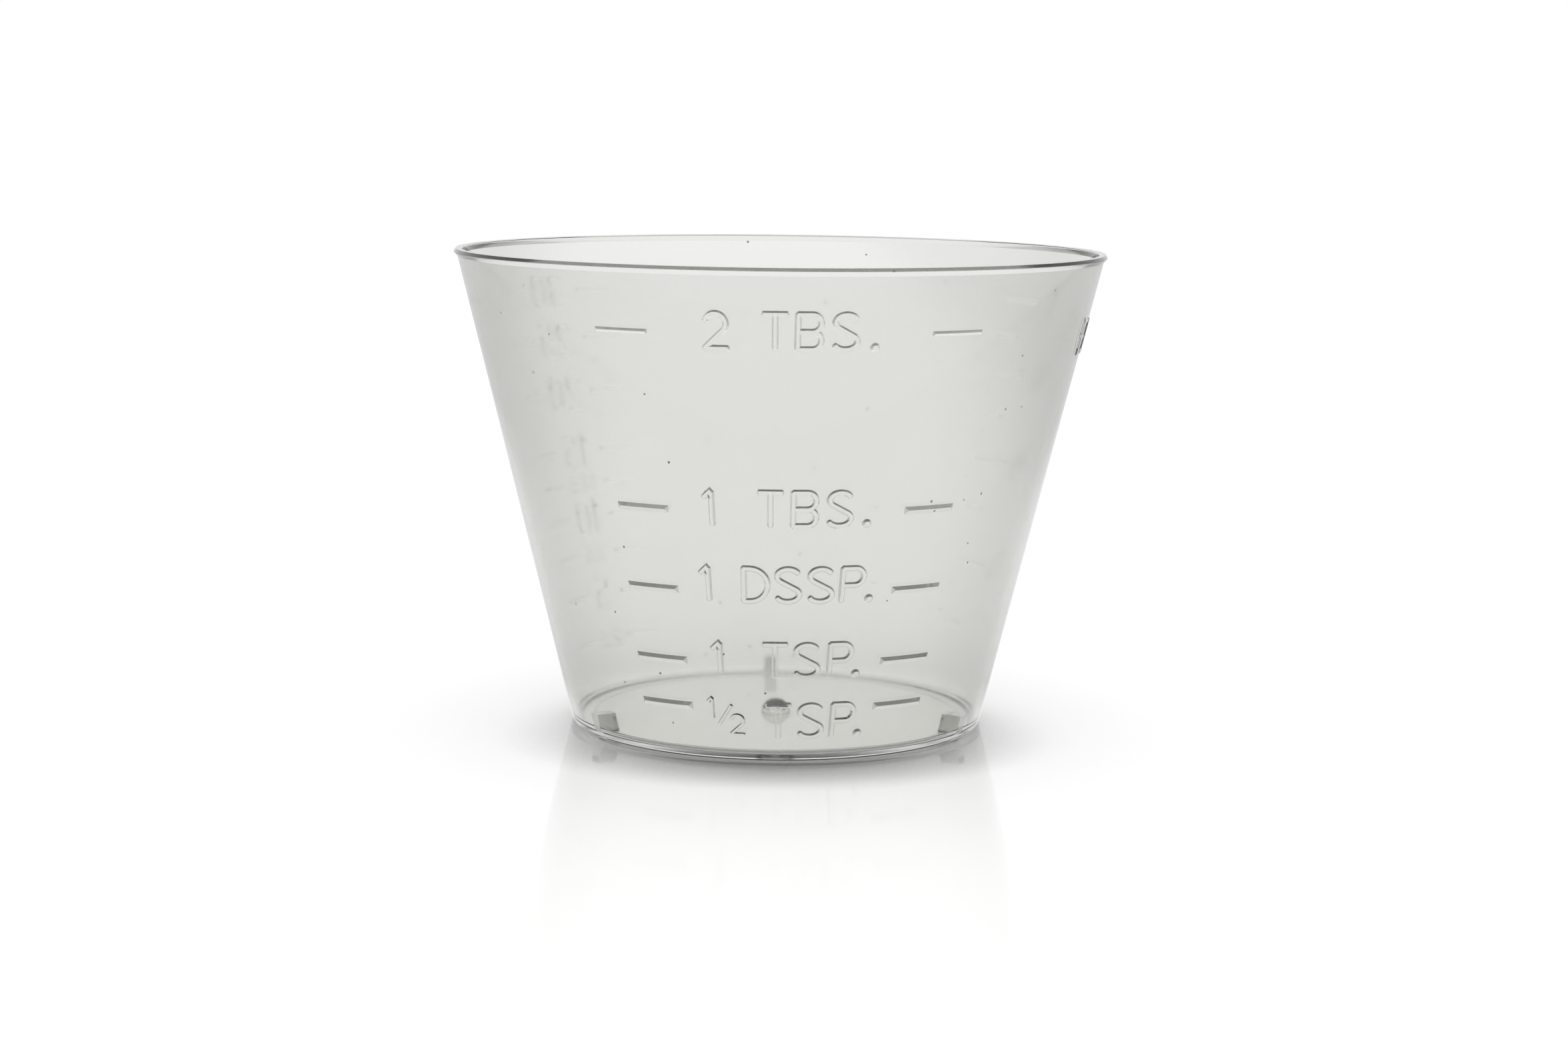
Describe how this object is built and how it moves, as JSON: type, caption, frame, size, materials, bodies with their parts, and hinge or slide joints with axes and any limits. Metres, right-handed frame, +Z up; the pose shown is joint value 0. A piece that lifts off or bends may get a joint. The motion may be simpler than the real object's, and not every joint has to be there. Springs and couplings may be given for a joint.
{
  "type": "medicine cup",
  "caption": "Small tapered cup of thin translucent plastic with raised measuring scales, a beaded mouth and a flat base.",
  "frame": {"origin": "centre of the foot ring, on the surface that the cup stands on", "axes": "+Z up along the cup's axis, towards the mouth; the spoon scale faces -Y; +X to the right of someone facing that scale"},
  "size_m": [0.046, 0.046, 0.0337],
  "materials": {
    "cup": "satin natural polypropylene, translucent"
  },
  "bodies": {
    "root": {"cup": "cup"}
  },
  "joints": []
}
